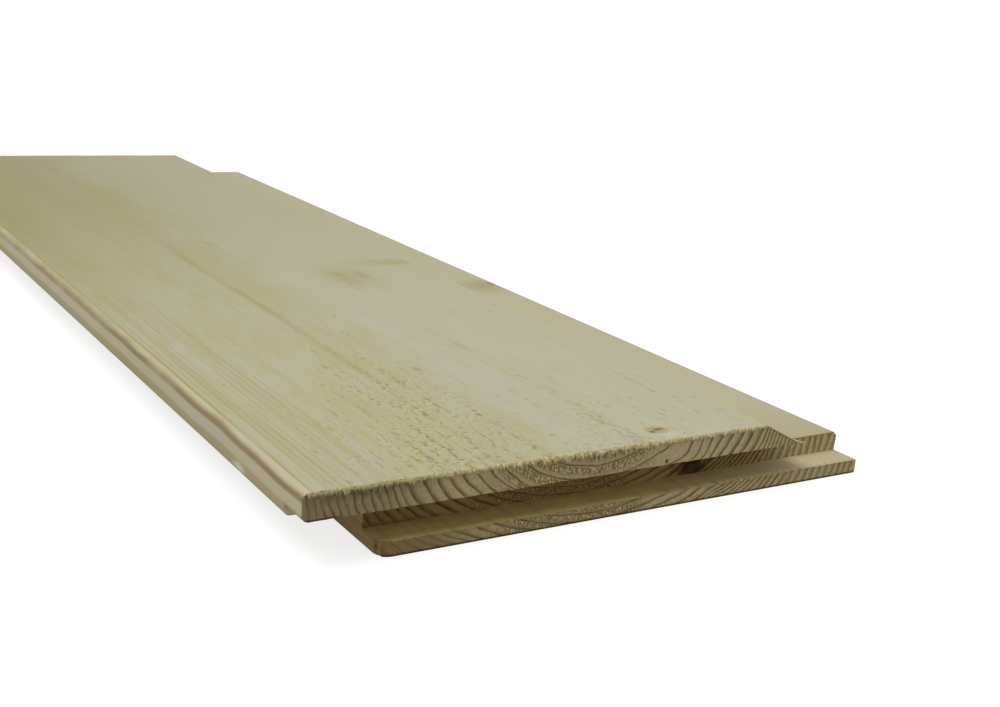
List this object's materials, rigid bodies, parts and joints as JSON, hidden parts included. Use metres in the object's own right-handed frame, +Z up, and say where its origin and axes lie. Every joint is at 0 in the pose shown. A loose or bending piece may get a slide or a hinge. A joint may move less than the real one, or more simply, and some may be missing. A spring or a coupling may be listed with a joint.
{
  "type": "cladding board",
  "caption": "Short length of lapped softwood cladding board with a rough-sawn face, a sloped shoulder, a lap flange and a grooved end.",
  "frame": {"origin": "under the middle of the board, on the plane of its back", "axes": "+X across the board from its lip to its flange, +Y along the board away from its grooved end, +Z up out of its face"},
  "size_m": [0.145, 0.4, 0.016],
  "materials": {
    "softwood": "rough-sawn face, planed edges, unfinished"
  },
  "bodies": {
    "root": {"cladding_board": "softwood"}
  },
  "joints": []
}
